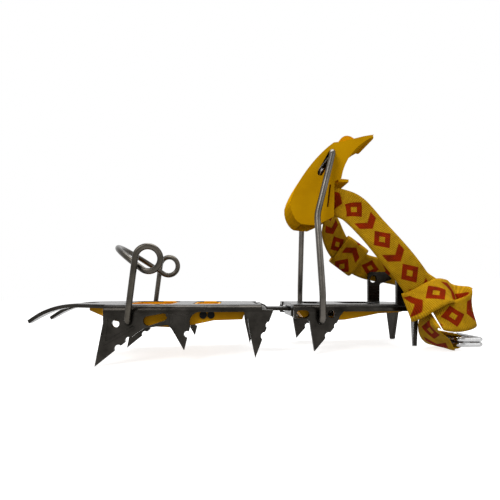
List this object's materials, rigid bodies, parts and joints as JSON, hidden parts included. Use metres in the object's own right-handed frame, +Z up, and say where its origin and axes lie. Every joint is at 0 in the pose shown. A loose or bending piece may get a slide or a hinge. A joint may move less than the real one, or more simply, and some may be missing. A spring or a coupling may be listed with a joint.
{
  "type": "crampon",
  "caption": "Hinged strap-and-lever crampon with pressed steel point frames, coiled wire toe bail, wire heel bail with moulded lever, anti-balling plates and webbing ankle strap",
  "frame": {"origin": "on the boot-sole face of the front frame's rear bridge, on the centreline", "axes": "X runs from the toe to the heel, Y to the far side in the picture, Z up from level ground on which the points stand"},
  "size_m": [0.3775, 0.112, 0.1847],
  "materials": {
    "frame_steel": "dark satin pressed steel, brighter on the bends",
    "plate_plastic": "orange-yellow moulded plastic",
    "stud_plastic": "black moulded plastic",
    "bright_steel": "plain bright steel",
    "bail_wire": "drawn stainless wire",
    "spring_steel": "blank spring steel",
    "lever_plastic": "mustard yellow moulded plastic",
    "strap_webbing": "yellow woven webbing with red woven marks",
    "ring_steel": "plated bright steel"
  },
  "bodies": {
    "front_section": {"front_frame": "frame_steel", "front_anti_balling_plate": "plate_plastic", "plate_studs": "stud_plastic", "link_pin": "bright_steel"},
    "toe_bail": {"toe_bail": "bail_wire"},
    "link_bar": {"link_bar": "frame_steel"},
    "heel_section": {"heel_frame": "frame_steel", "heel_anti_balling_plate": "plate_plastic", "adjuster_spring": "spring_steel", "adjuster_rivets": "bright_steel", "strap_heel_run": "strap_webbing", "strap_far_band": "strap_webbing", "strap_tail_fold": "strap_webbing", "strap_buckle_loop": "strap_webbing"},
    "heel_bail": {"heel_bail": "bail_wire"},
    "heel_lever": {"heel_lever": "lever_plastic", "strap_near_strand": "strap_webbing", "strap_far_strand": "strap_webbing"},
    "ring_upper": {"buckle_ring_upper": "ring_steel"},
    "ring_lower": {"buckle_ring_lower": "ring_steel"}
  },
  "joints": [
    {"name": "toe_bail_swing", "type": "hinge", "parent": "front_section", "child": "toe_bail", "pos_m": [-0.07793, 0, -0.00966], "axis": [0, 1, 0], "range_deg": [-50, 38]},
    {"name": "link_flex", "type": "hinge", "parent": "front_section", "child": "link_bar", "pos_m": [0.02774, 0, -0.00629], "axis": [0, 1, 0], "range_deg": [-8, 8]},
    {"name": "bar_slide", "type": "slide", "parent": "link_bar", "child": "heel_section", "axis": [0.9989, 0, -0.0462], "range_m": [-0.01, 0.05], "deforming": ["adjuster_spring"]},
    {"name": "heel_bail_swing", "type": "hinge", "parent": "heel_section", "child": "heel_bail", "pos_m": [0.07172, 0, -0.01633], "axis": [0, 1, 0], "range_deg": [-60, 50], "deforming": ["strap_near_strand", "strap_far_strand", "strap_heel_run", "strap_far_band"]},
    {"name": "lever_swing", "type": "hinge", "parent": "heel_bail", "child": "heel_lever", "pos_m": [0.09249, 0, 0.12316], "axis": [0, 1, 0], "range_deg": [-75, 95], "deforming": ["strap_near_strand", "strap_far_strand"]},
    {"name": "ring_upper_swing", "type": "hinge", "parent": "heel_section", "child": "ring_upper", "pos_m": [0.17063, -0.036, -0.03352], "axis": [0, 1, 0], "range_deg": [-20, 0]},
    {"name": "ring_lower_swing", "type": "hinge", "parent": "heel_section", "child": "ring_lower", "pos_m": [0.17046, -0.036, -0.03732], "axis": [0, 1, 0], "range_deg": [0, 4]}
  ]
}
